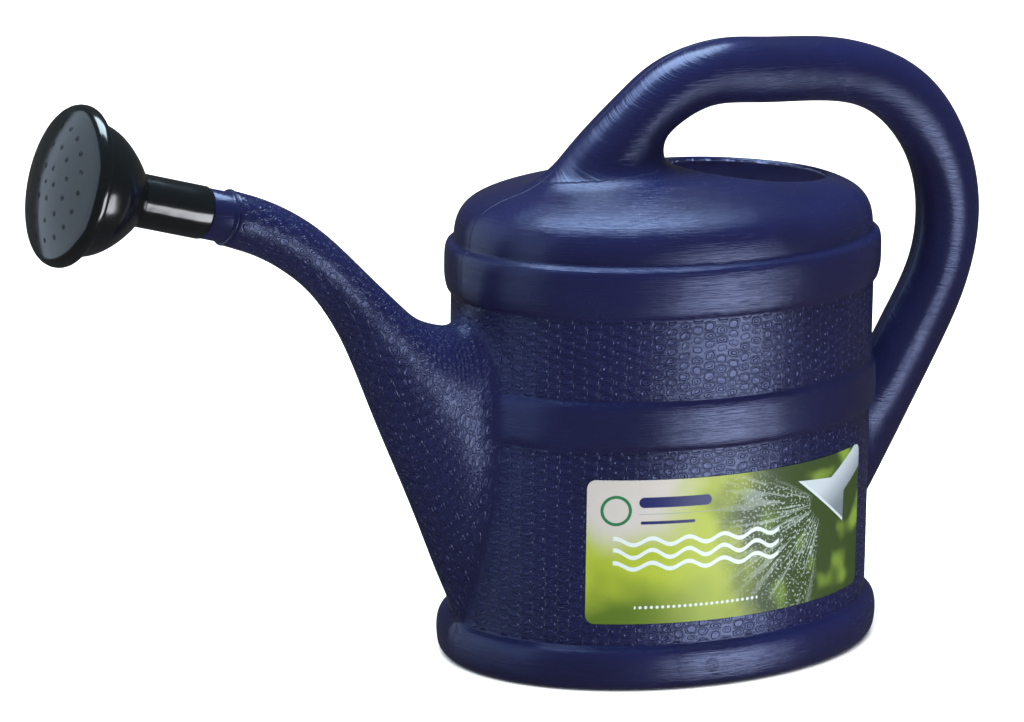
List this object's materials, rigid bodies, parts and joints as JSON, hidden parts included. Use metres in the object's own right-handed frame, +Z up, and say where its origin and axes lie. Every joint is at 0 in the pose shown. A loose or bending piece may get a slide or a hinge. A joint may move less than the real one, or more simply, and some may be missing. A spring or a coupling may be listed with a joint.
{
  "type": "watering can",
  "caption": "Oval blow-moulded watering can with a tubular loop handle, a filler opening in the domed top, a fin-rooted spout and a push-fit sprinkler rose.",
  "frame": {"origin": "under the middle of the bounding box, on the surface that the can stands on", "axes": "+X from the spout towards the handle, +Y away from the labelled side, +Z up"},
  "size_m": [0.4886, 0.1656, 0.2825],
  "materials": {
    "can_plastic": "satin, moulded grain",
    "rose_plastic": "gloss",
    "label_film": "printed film"
  },
  "bodies": {
    "can": {"tank_base": "can_plastic", "tank_wall": "can_plastic", "tank_dome": "can_plastic", "handle_front": "can_plastic", "handle_grip": "can_plastic", "handle_rear": "can_plastic", "handle_rear_root": "can_plastic", "spout_root": "can_plastic", "spout_tube": "can_plastic", "spout_spigot": "can_plastic", "label": "label_film"},
    "rose": {"rose_shell": "rose_plastic"},
    "rose_cap": {"rose_face": "rose_plastic"}
  },
  "joints": [
    {"name": "rose_pull", "type": "slide", "parent": "can", "child": "rose", "axis": [-0.9646, 0, 0.2639], "range_m": [0, 0.045]},
    {"name": "rose_twist", "type": "hinge", "parent": "rose", "child": "rose_cap", "pos_m": [-0.15665, 0, 0.2215], "axis": [-0.9646, 0, 0.2639], "continuous": true}
  ]
}
